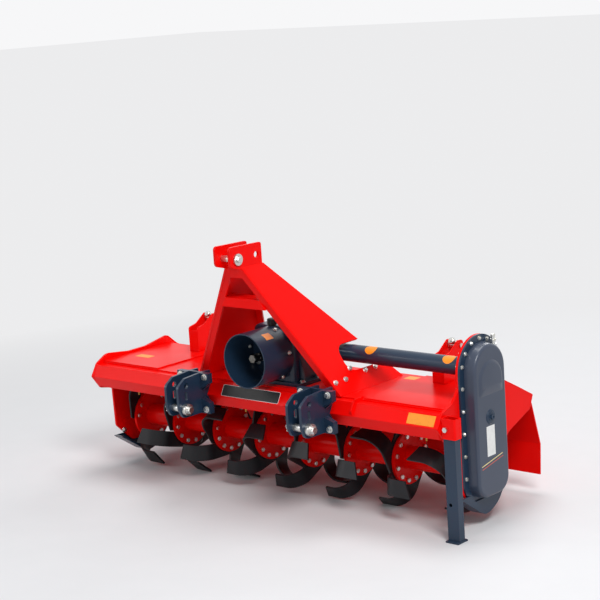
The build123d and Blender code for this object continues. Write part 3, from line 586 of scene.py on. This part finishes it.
def gearbox_covers(bm):
    """Cast covers and ribs on the gearbox."""
    lathe(bm, at(0, CAP_Y, gear_high.z - 1), UP, TOP_CAP, 36)
    for sign, bore in ((-1, 0), (1, DRIVE_BORE)):
        profile = [(bore, 0), *SIDE_COVER, (bore, SIDE_COVER[-1][1])]
        lathe(bm, at(sign * (BOX_SIDE - 1), 0, SIDE_Z), (sign, 0, 0), profile, 36)
    lathe(bm, at(0, BOX_FRONT + 1, INPUT_Z), FRONT, FRONT_COVER, 40)
    lathe(bm, at(0, BOX_REAR - 1, REAR_Z), BACK, REAR_COVER, 36)
    for sign in (-1, 1):
        for y in (BOX_FRONT + RIB_INSET, BOX_REAR - RIB_INSET):
            foot = at(sign * (BOX_SIDE - 1), y - sign * RIB / 2, BASE_TOP)
            prism(bm, RIB_OUTLINE, foot, (sign, 0, 0), UP, RIB)


piece("gearbox_covers", "frame", GREY, gearbox_covers)


def gearbox_bolts(bm):
    """Bolts of the covers, one ring to each, and of the base."""
    bolt_ring(bm, at(0, CAP_Y, gear_high.z + 9), RIGHT, BACK, UP, 50, 6)
    bolt_ring(bm, at(0, BOX_FRONT - 15, INPUT_Z), RIGHT, UP, FRONT, 52, 6.5, 8)
    bolt_ring(bm, at(0, BOX_FRONT - 5.5, INPUT_Z), RIGHT, UP, FRONT, 87, 7.5, 9.5)
    bolt_ring(bm, at(0, BOX_REAR + 8, REAR_Z), RIGHT, UP, BACK, 52, 6)
    for sign in (-1, 1):
        bolt_ring(bm, at(sign * (BOX_SIDE + 11), 0, SIDE_Z), BACK, UP, (sign, 0, 0), 58, 6)
        for y in BASE_BOLT_YS:
            bolt(bm, at(sign * (gear_high.x - 14), y, BASE_TOP), UP, 9, 11.5, y)


piece("gearbox_bolts", "frame", ZINC, gearbox_bolts)

shield_low, shield_high = low_high("pto_shield")
SHIELD_RADIUS = (shield_high.x - shield_low.x) / 2
SCREW_Y = BOX_FRONT - 24
SCREW_ANGLES = (-52, 8, 68, 128, 168, 248)
SCREW_SUNK = 0.6
SHIELD_SHEET = 3.0


def shield_bolts(bm):
    """Screws that hold the guard to the gearbox, seen on its skirt and inside."""
    middle = at(0, SCREW_Y, INPUT_Z)
    outer = SHIELD_RADIUS - SCREW_SUNK
    inner = outer - SHIELD_SHEET
    for degrees in SCREW_ANGLES:
        angle = math.radians(degrees)
        out = Vector((math.cos(angle), 0, math.sin(angle)))
        bolt(bm, middle + out * outer * MM, out, 6.5, 8.5, degrees)
        bolt(bm, middle + out * inner * MM, -out, 5.5, 7.5, degrees)


piece("shield_bolts", "frame", ZINC, shield_bolts)

SHAFT_FRONT = low_high("input_shaft")[0].y
SPLINES = 6
SPLINE_TOP, SPLINE_ROOT = 17.4, 14.8
JOURNAL = 15
FLANK_TIP, FLANK_FOOT, ROOT_END = 10.5, 12, 26      # degrees from a spline's middle
# (distance behind the front, radius of the splines' tops, radius of their roots)
SPLINE_STATIONS = (
    (0, SPLINE_TOP - 1.6, SPLINE_ROOT - 0.6),
    (1.8, SPLINE_TOP, SPLINE_ROOT),
    (22, SPLINE_TOP, SPLINE_ROOT),
    (23, SPLINE_ROOT + 0.2, SPLINE_ROOT),
    (30, SPLINE_ROOT + 0.2, SPLINE_ROOT),
    (31, SPLINE_TOP, SPLINE_ROOT),
    (72, SPLINE_TOP, SPLINE_ROOT),
    (75, SPLINE_ROOT + 0.4, SPLINE_ROOT),
    (75, JOURNAL, JOURNAL),
    (146, JOURNAL, JOURNAL),
)


def splined_input(bm):
    """Six-spline stub with its locking groove and a plain journal behind."""
    front = at(0, SHAFT_FRONT, INPUT_Z)
    rings = []
    for back, top, root in SPLINE_STATIONS:
        ring = []
        for i in range(SPLINES):
            for offset, radius in ((-ROOT_END, root), (-FLANK_FOOT, root), (-FLANK_TIP, top),
                                   (FLANK_TIP, top), (FLANK_FOOT, root), (ROOT_END, root)):
                angle = math.radians(360 / SPLINES * i + offset)
                place = Vector((math.cos(angle) * radius, back, math.sin(angle) * radius))
                ring.append(bm.verts.new(front + place * MM))
        rings.append(ring)
    bridge_all(bm, rings)
    bm.faces.new(rings[0])
    bm.faces.new(rings[-1])


shaft = piece("input_spline", "input", STEEL, splined_input, 20)
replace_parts(shaft, "input_shaft")

CAP_RIDGES = 12
CAP_POINTS = 4 * CAP_RIDGES


def filler(bm):
    """Round ridged cap on its neck."""
    foot = at(-8, BOX_FRONT + 14, gear_high.z - 14)
    lathe(bm, foot, UP, [(0, 0), (21, 0), (21, 14), (15, 16), (15, 24)], 24)
    ridges = [19.4 if i % 4 < 2 else 18.2 for i in range(CAP_POINTS)]
    for low, high, inset in ((20, 40, 0), (40, 43, 2.5)):
        rings = []
        for height, less in ((low, 0), (high, inset)):
            ring = []
            for i, radius in enumerate(ridges):
                angle = 2 * math.pi * i / CAP_POINTS
                place = Vector((math.cos(angle) * (radius - less),
                                math.sin(angle) * (radius - less), height))
                ring.append(bm.verts.new(foot + place * MM))
            rings.append(ring)
            bm.faces.new(ring)
        bridge_all(bm, rings)


def vent(bm):
    """Vent nipple beside the filler cap."""
    foot = at(26, BOX_FRONT + 22, gear_high.z - 4)
    bolt(bm, foot, UP, 9, turn=0.3)
    lathe(bm, foot + Vector((0, 0, 6 * MM)), UP,
          [(0, 0), (5, 0), (5, 8), (7.5, 9), (7.5, 19), (6, 22), (0, 22)], 16)


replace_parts(piece("gearbox_filler", "frame", MATT_BLACK, filler),
            "gearbox_breather")
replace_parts(piece("gearbox_vent", "frame", ZINC, vent), "gearbox_breather")

# ------------------------------------------------------------------ gear case relief and fittings
RELIEF_Z = ARCH_Z - 36        # centre of the relief's round top
STAR_POINTS = 72
# (radius, height of the level edge, lift above the cover)
RELIEF_STEPS = (
    (74, ARCH_Z - 90, -0.4),
    (73, ARCH_Z - 88, 0.6),
    (64, ARCH_Z - 60, 5.2),
    (60, ARCH_Z - 57, 5.6),
)


def arch_outline(radius, middle, low):
    """Half round top with straight sides down to a level edge."""
    points = [(radius * math.cos(math.radians(a)), middle + radius * math.sin(math.radians(a)))
              for a in range(0, 181, 6)]
    return points + [(-radius, low), (radius, low)]


def star(points, centre):
    """The outline's points seen from its centre at even angles."""
    made = []
    for i in range(STAR_POINTS):
        angle = 2 * math.pi * i / STAR_POINTS + 0.001
        dx, dy = math.cos(angle), math.sin(angle)
        best = 0
        for (x0, y0), (x1, y1) in zip(points, points[1:] + points[:1]):
            ex, ey = x1 - x0, y1 - y0
            bottom = dx * ey - dy * ex
            if abs(bottom) < 1e-9:
                continue
            along = ((x0 - centre[0]) * ey - (y0 - centre[1]) * ex) / bottom
            share = ((x0 - centre[0]) * dy - (y0 - centre[1]) * dx) / bottom
            if along > best and -1e-6 <= share <= 1 + 1e-6:
                best = along
        made.append((centre[0] + dx * best, centre[1] + dy * best))
    return made


def case_relief(bm):
    """Raised arch pressed into the upper part of the cover."""
    rings = []
    for radius, low, lift in RELIEF_STEPS:
        outline = star(arch_outline(radius, RELIEF_Z, low), (0, ARCH_Z - 30))
        rings.append([bm.verts.new(at(CASE_FACE + lift, y, z)) for y, z in outline])
    bridge_all(bm, rings)
    bm.faces.new(rings[-1])


# The relief takes the case cover's lighter copy of the grey paint, which is painted light.
piece("case_relief", "frame", CASE_GREY_LIT_COPY, case_relief, 50)

PLUG_Y, PLUG_Z = -9, 415


def case_plug(bm):
    """Dished boss with a hollow hexagon plug."""
    lathe(bm, at(CASE_FACE - 0.4, PLUG_Y, PLUG_Z), RIGHT,
          [(0, 0), (29, 0), (25, 4), (18, 5.4), (18, 7), (0, 7)], 32)
    lathe(bm, at(CASE_FACE + 6, PLUG_Y, PLUG_Z), RIGHT,
          [(0, 0), (11, 0), (11, 5), (9.5, 7), (5, 7), (5, 4), (0, 4)], 6, 0.3)


def case_filler(bm):
    """Neck, hexagon and knob of the filler on the cover's rim."""
    foot = at(FLANGE_FACE + 22, 57, ARCH_Z + 70)
    lathe(bm, foot, UP, [(0, 0), (13, 0), (13, 14), (9, 16), (9, 24), (0, 24)], 20)
    lathe(bm, foot + Vector((0, 0, 24 * MM)), UP,
          [(0, 0), (12, 0), (12, 7), (10.5, 9), (0, 9)], 6, 0.2)
    lathe(bm, foot + Vector((0, 0, 33 * MM)), UP,
          [(0, 0), (6.5, 0), (6.5, 6), (8.5, 7), (8.5, 15), (7, 18), (0, 18)], 18)


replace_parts(piece("case_plug", "frame", GREY, case_plug), "side_case_fittings")
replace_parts(piece("case_filler", "frame", ZINC, case_filler), "side_case_fittings")

# ------------------------------------------------------------------ folds and gussets of the frame
LEG_REAR_TOP = -227           # rear edge of the legs at their bend
LEG_REAR_FOOT = 172           # and at the deck
LEG_SHEET = 10
FOLD_SHEET = 8
FOLD_WIDTH = 34
FOLD_LEAST_X = 6              # the two folds keep clear of each other at the top
FOLD_LOW_Z = ARCH_Z + 66      # just above the drive tube's slot


def mast_folds(bm):
    """Rear edges of the mast legs above the drive tube, turned inwards."""
    run = Vector((0, LEG_REAR_FOOT - LEG_REAR_TOP, DECK_TOP - LEG_BEND_Z))
    inward = Vector((0, run.z, -run.y)).normalized() * FOLD_SHEET

    def ends(z):
        """Outer and inner corner of the fold at a height."""
        y = LEG_REAR_TOP + run.y * (z - LEG_BEND_Z) / run.z - 0.6
        inner = web_x(z) - LEG_SHEET / math.cos(math.atan(SPLAY))
        return (inner + 0.4, y, z), (max(inner - FOLD_WIDTH, FOLD_LEAST_X), y, z)

    high_outer, high_inner = ends(LEG_BEND_Z - 6)
    low_outer, low_inner = ends(FOLD_LOW_Z)
    for sign in (-1, 1):
        lower = [bm.verts.new(at(sign * x, y, z))
                 for x, y, z in (high_outer, high_inner, low_inner, low_outer)]
        upper = [bm.verts.new(vert.co + inward * MM) for vert in lower]
        bridge(bm, lower, upper)
        bm.faces.new(lower)
        bm.faces.new(upper)


piece("mast_folds", "frame", RED, mast_folds)

SLANT = math.radians(30)      # the beam's slanted faces from upright


def beam_gussets(bm):
    """Small ribs over the deck's lip and the beam's slanted face, outside the brackets."""
    front = BEAM_Y - (BEAM_TOP - BEAM_Z) / math.cos(SLANT)
    rib = [(-186, DECK_TOP - 0.5), (-186, DECK_TOP + 9), (-236, DECK_TOP + 6),
           (front - 4, BEAM_Z + 20), (front + 3, BEAM_Z + 4), (-231, BEAM_TOP - 1),
           (-198, BEAM_TOP)]
    for x in (-466, 458):
        prism(bm, rib, at(x, 0, 0), BACK, UP, 8)


piece("beam_gussets", "frame", RED, beam_gussets)

# ------------------------------------------------------------------ pins and their clips
pin_low, pin_high = low_high("hitch_pins")
PIN_Y, PIN_Z = (pin_low.y + pin_high.y) / 2, (pin_low.z + pin_high.z) / 2
PIN_LEFT = pin_low.x - bracket_middles[0]      # ends of each pin from its bracket's middle
PIN_RIGHT = pin_high.x - bracket_middles[1]
top_low, top_high = low_high("top_link_pin")
TOP_Y, TOP_Z = (top_low.y + top_high.y) / 2, (top_low.z + top_high.z) / 2
PIN_END = [(0, -0.4), (13, -0.4), (12, 1.6), (0, 2.2)]
CLIP_PIN = 3.6                # radii
CLIP_WIRE = 1.9
CLIP_POINTS = 22
CLIP_FROM, CLIP_ARC = -64, 308     # degrees


def ring_clip(bm, origin, axis, up, reach=15):
    """Linch clip: round pin through the hitch pin and its spring ring."""
    axis, up = Vector(axis).normalized(), Vector(up).normalized()
    across = axis.cross(up)
    tube(bm, [origin - up * 17 * MM, origin + up * 19 * MM], CLIP_PIN, 10)
    lathe(bm, origin + up * 17 * MM, up, [(0, 0), (6, 0), (6, 7), (4.5, 9), (0, 9)], 14)
    loop = []
    for i in range(CLIP_POINTS):
        angle = math.radians(CLIP_FROM + CLIP_ARC * i / (CLIP_POINTS - 1))
        out = up * math.cos(angle) + across * math.sin(angle)
        loop.append(origin + out * reach * MM * 1.25 + axis * (5 - 2.5 * math.cos(angle)) * MM)
    tube(bm, loop, CLIP_WIRE, 8)


def pin_details(bm):
    """Heads on the right and clips on the left of the three link pins."""
    for middle in bracket_middles:
        left, right = middle + PIN_LEFT, middle + PIN_RIGHT
        bolt(bm, at(right - 4.5, PIN_Y, PIN_Z), RIGHT, 15, 19, 0.3)
        lathe(bm, at(left, PIN_Y, PIN_Z), LEFT, PIN_END, 24)
        ring_clip(bm, at(left + 9, PIN_Y, PIN_Z), LEFT, (0, -0.3, 0.95))
    bolt(bm, at(top_high.x - 3, TOP_Y, TOP_Z), RIGHT, 13, 17, 0.2)
    ring_clip(bm, at(top_low.x + 10, TOP_Y, TOP_Z), LEFT, (0, -0.2, 0.98), 13)


piece("pin_clips", "frame", ZINC, pin_details)

# ------------------------------------------------------------------ springs
lug_at, swivel_at = (Vector(joints[name]["pos_m"]) for name in ("rod_turn", "swivel_turn"))
rod_axis = (swivel_at - lug_at).normalized()
lugs_low, lugs_high = low_high("board_lugs")
ROD_INSET = 24                # a rod from the outer side of its lugs
ROD_XS = (lugs_low.x + ROD_INSET, lugs_high.x - ROD_INSET)
SPRING_FROM, SPRING_TO = 66.3, 256.3           # along the rod from its pin in the lug
WIRE = 3.9
COIL_RADIUS = 15.9
COIL_TURNS = 9.5
COIL_STEPS = 18               # points to a turn
END_TURNS = 0.035             # how far the end turns lie closer
WASHER_PROFILE = [(9.4, 0), (22.2, 0), (23, 0.8), (23, 5.2), (22.2, 6), (9.4, 6), (9.4, 0)]


def rod_foot(x):
    """A rod's pin in the lug."""
    return Vector((at(x, 0, 0).x, lug_at.y, lug_at.z))


def coils(bm):
    """Compression springs with closer end turns, each between two washers."""
    _, first, second = axes_of(rod_axis, RIGHT)
    count = int(COIL_TURNS * COIL_STEPS)
    for x in ROD_XS:
        foot = rod_foot(x)
        line = []
        for i in range(count + 1):
            t = i / count
            turn = 2 * math.pi * COIL_TURNS * t
            eased = t - END_TURNS * math.sin(2 * math.pi * t)
            along = SPRING_FROM + WIRE + (SPRING_TO - SPRING_FROM - 2 * WIRE) * eased
            out = first * math.cos(turn) + second * math.sin(turn)
            line.append(foot + (rod_axis * along + out * COIL_RADIUS) * MM)
        tube(bm, line, WIRE, 10)
        for along in (SPRING_FROM - 6, SPRING_TO + 0.3):
            lathe(bm, foot + rod_axis * along * MM, rod_axis, WASHER_PROFILE, 30)


springs = piece("rod_coils", "rods", SPRING, coils, 40)
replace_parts(springs, "rod_springs")


def rod_nuts(bm):
    """Nuts behind the washers at both ends of each spring."""
    for x in ROD_XS:
        foot = rod_foot(x)
        bolt(bm, foot + rod_axis * (SPRING_TO + 6.4) * MM, rod_axis, 15.5, turn=0.2)
        bolt(bm, foot + rod_axis * (SPRING_FROM - 6.4) * MM, -rod_axis, 15.5, turn=0.5)


piece("rod_nuts", "rods", ZINC, rod_nuts)

# ------------------------------------------------------------------ labels, plates and stripes
SLANT_OUT = Vector((0, -math.cos(SLANT), math.sin(SLANT)))
SLANT_UP = Vector((0, math.sin(SLANT), math.cos(SLANT)))
FACE_OUT = (beam_high.z - beam_low.z) / 2
PANEL_TOP = low_high("deck_panels")[1].z
PLATE_X = -56
PLATE_OUTLINE = rounded(302, 45, 6)
PLATE_THICK = 0.6
FILM = 0.4                    # thickness of a label


def on_slant(x, lift=0.0):
    """Point on the middle line of the beam's upper front face."""
    return at(x, BEAM_Y, BEAM_Z) + SLANT_OUT * (FACE_OUT + lift) * MM


def beam_plate(bm):
    """Bare nameplate."""
    prism(bm, PLATE_OUTLINE, on_slant(PLATE_X), RIGHT, SLANT_UP, PLATE_THICK)


def plate_rim(bm):
    """Pale edge of the beam's plate."""
    line = [on_slant(PLATE_X, PLATE_THICK) + (Vector(RIGHT) * u + SLANT_UP * v) * MM
            for u, v in PLATE_OUTLINE]
    tube(bm, line, 0.8, 6, closed=True)


def beam_label(bm):
    prism(bm, rounded(122, 40, 1), on_slant(777), RIGHT, SLANT_UP, FILM)


def deck_labels(bm):
    for x, y, z, width, height in ((451, 151, DECK_TOP, 86, 44), (-846, -58, PANEL_TOP, 84, 40)):
        prism(bm, rounded(width, height, 2), at(x, y, z), RIGHT, BACK, FILM)


piece("beam_plate", "frame", MATT_BLACK, beam_plate)
piece("beam_plate_rim", "frame", WHITE, plate_rim)
piece("beam_label", "frame", ORANGE, beam_label)
piece("deck_labels", "frame", ORANGE, deck_labels)

LABEL_COLUMNS, LABEL_ROWS = 16, 12
LABEL_LIFT = 0.35
tube_low, tube_high = low_high("side_drive_tube")
TUBE_Z = (tube_low.z + tube_high.z) / 2


def curved_label(bm, centre, axis, hint, radius, middle, wide, tall, oval):
    """Thin label bent round a tube.

    middle is its centre's angle from the hint in degrees, and wide is along the axis.
    """
    axis, first, second = axes_of(axis, hint)
    grid = []
    for i in range(LABEL_COLUMNS + 1):
        line = []
        for j in range(LABEL_ROWS + 1):
            u, v = 2 * i / LABEL_COLUMNS - 1, 2 * j / LABEL_ROWS - 1
            if oval:
                u, v = u * math.sqrt(1 - v * v / 2), v * math.sqrt(1 - u * u / 2)
            angle = math.radians(middle) + v * tall / 2 / radius
            out = first * math.cos(angle) + second * math.sin(angle)
            place = axis * u * wide / 2 + out * (radius + LABEL_LIFT)
            line.append(bm.verts.new(centre + place * MM))
        grid.append(line)
    for i in range(LABEL_COLUMNS):
        for j in range(LABEL_ROWS):
            bm.faces.new((grid[i][j], grid[i + 1][j], grid[i + 1][j + 1], grid[i][j + 1]))


def round_labels(bm):
    """Two oval ones on the drive tube and a square one on the guard."""
    for x in (375, 742):
        curved_label(bm, at(x, 0, TUBE_Z), RIGHT, FRONT, tube_high.y, -62, 52, 50, True)
    curved_label(bm, at(0, -250, INPUT_Z), BACK, RIGHT, shield_high.x, -56, 40, 34, False)


def case_label(bm):
    prism(bm, rounded(50, 112, 2), at(CASE_FACE, -13, 326), BACK, UP, FILM)


def case_stripe(low_y, low_z, high_y, high_z):
    """A thin slanted stripe on the gear case between two places."""
    run = Vector((0, high_y - low_y, high_z - low_z))
    along = run.normalized()
    up = Vector(RIGHT).cross(along)
    middle = at(CASE_FACE, (low_y + high_y) / 2, (low_z + high_z) / 2)

    def build(bm):
        prism(bm, rounded(run.length, 3.2, 0.6), middle, along, up, FILM)
    return build


piece("round_labels", "frame", ORANGE, round_labels)
piece("case_label", "frame", WHITE, case_label)
piece("case_stripe_pale", "frame", STRIPE_PALE, case_stripe(-76, 240, 56, 264))
piece("case_stripe_red", "frame", STRIPE_RED, case_stripe(-74, 229, 58, 253))

# ------------------------------------------------------------------ grease nipples and end plate
NIPPLE_PROFILE = [(0, -1), (7, -1), (7, 6), (4, 7), (3.4, 13), (4.6, 15), (3.6, 19), (0, 19)]


def nipples(bm):
    """Nipples under the beam."""
    for x in (-740, -126, 766):
        lathe(bm, at(x, -205, beam_low.z), DOWN, NIPPLE_PROFILE, 12)


piece("grease_nipples", "frame", BRASS, nipples)

plate_low, plate_high = low_high("left_end_plate")
BEARING_FOOT = 12.3           # thickness of the bearing's foot and the gap under it


def lone_bolts(bm):
    """A bolt inside the left end plate and the six of the left bearing."""
    bolt(bm, at(plate_high.x, -110, 150), RIGHT, 9, 12, 0.4)
    bolt_ring(bm, at(plate_low.x - BEARING_FOOT, 0, ROTOR_Z), BACK, UP, LEFT, 54, 7, 9)


piece("lone_bolts", "frame", ZINC, lone_bolts)

# ------------------------------------------------------------------ floor and light
FLOOR_HALF = 60.0
FLOOR_Z = -0.0005             # just below the ground, so that nothing lies in its face
GLOW_FROM, GLOW_TO = 1.3, 4.0     # metres from the origin over which it turns evenly pale

g = Graph(bpy.data.materials.new("floor_white"))
distance = g.node("ShaderNodeVectorMath", {"operation": "LENGTH"}, Vector=g.coords)
far = g.multiply(g.remap(distance.outputs["Value"], GLOW_FROM, GLOW_TO, 0.0, 1.0), g.seen())
shade = g.remap(g.noise(7, 4), *NOISE_BAND, 0.985, 1.0)
plain = g.node("ShaderNodeBsdfDiffuse", Color=g.tone((0.78, 0.78, 0.79, 1), shade))
glow = g.node("ShaderNodeEmission", Color=(0.84, 0.84, 0.85, 1), Strength=1.0)
floor_material = g.surface(g.blend(far, plain.outputs[0], glow.outputs[0]))

floor_mesh = bpy.data.meshes.new("floor")
bm = bmesh.new()
bm.faces.new([bm.verts.new((x * FLOOR_HALF, y * FLOOR_HALF, FLOOR_Z))
              for x, y in ((-1, -1), (1, -1), (1, 1), (-1, 1))])
bm.to_mesh(floor_mesh)
bm.free()
floor_mesh.materials.append(floor_material)
floor = bpy.data.objects.new("floor", floor_mesh)
bpy.context.scene.collection.objects.link(floor)

g = Graph(bpy.data.worlds.new("studio"), "ShaderNodeOutputWorld")
lit = g.node("ShaderNodeBackground", Color=(0.93, 0.96, 1.0, 1), Strength=0.36)
shown = g.node("ShaderNodeBackground", Color=(0.93, 0.93, 0.94, 1), Strength=1.0)
bpy.context.scene.world = g.surface(g.blend(g.seen(), lit.outputs[0], shown.outputs[0]))


def lamp(name, place, target, size, power):
    """Round soft lamp aimed at a point."""
    light = bpy.data.lights.new(name, "AREA")
    light.shape = "DISK"
    light.size = size
    light.energy = power
    made = bpy.data.objects.new(name, light)
    made.location = place
    aim = Vector(target) - Vector(place)
    made.rotation_euler = aim.to_track_quat("-Z", "Y").to_euler()
    bpy.context.scene.collection.objects.link(made)


lamp("key", (3.8, -2.2, 4.2), (0, 0, 0.4), 2.0, 175)
lamp("above", (0.2, 0.6, 4.6), (0, 0, 0.4), 2.4, 75)
lamp("left", (-3.6, -3.4, 2.4), (0, 0, 0.4), 2.2, 38)
lamp("back", (-0.8, 4.2, 2.8), (0, 0, 0.5), 2.4, 60)

# ------------------------------------------------------------------ camera
CAMERA_PLACE = (4.3904, -4.8841, 1.9820)
AZIMUTH, ELEVATION, ROLL = (math.radians(v) for v in (41.943, 10.549, -3.749))

forward = Vector((-math.sin(AZIMUTH) * math.cos(ELEVATION),
                  math.cos(AZIMUTH) * math.cos(ELEVATION), -math.sin(ELEVATION)))
right = Vector((math.cos(AZIMUTH), math.sin(AZIMUTH), 0))
up = right.cross(forward)
turned = right * math.cos(ROLL) + up * math.sin(ROLL)
upward = up * math.cos(ROLL) - right * math.sin(ROLL)

camera_data = bpy.data.cameras.new("camera")
camera_data.lens = 100.28
camera_data.sensor_width = 36
camera = bpy.data.objects.new("camera", camera_data)
turn = Matrix((turned, upward, -forward)).transposed().to_4x4()
camera.matrix_world = Matrix.Translation(CAMERA_PLACE) @ turn
bpy.context.scene.collection.objects.link(camera)
bpy.context.scene.camera = camera
bpy.context.scene.view_settings.view_transform = "Standard"

bpy.context.view_layer.update()
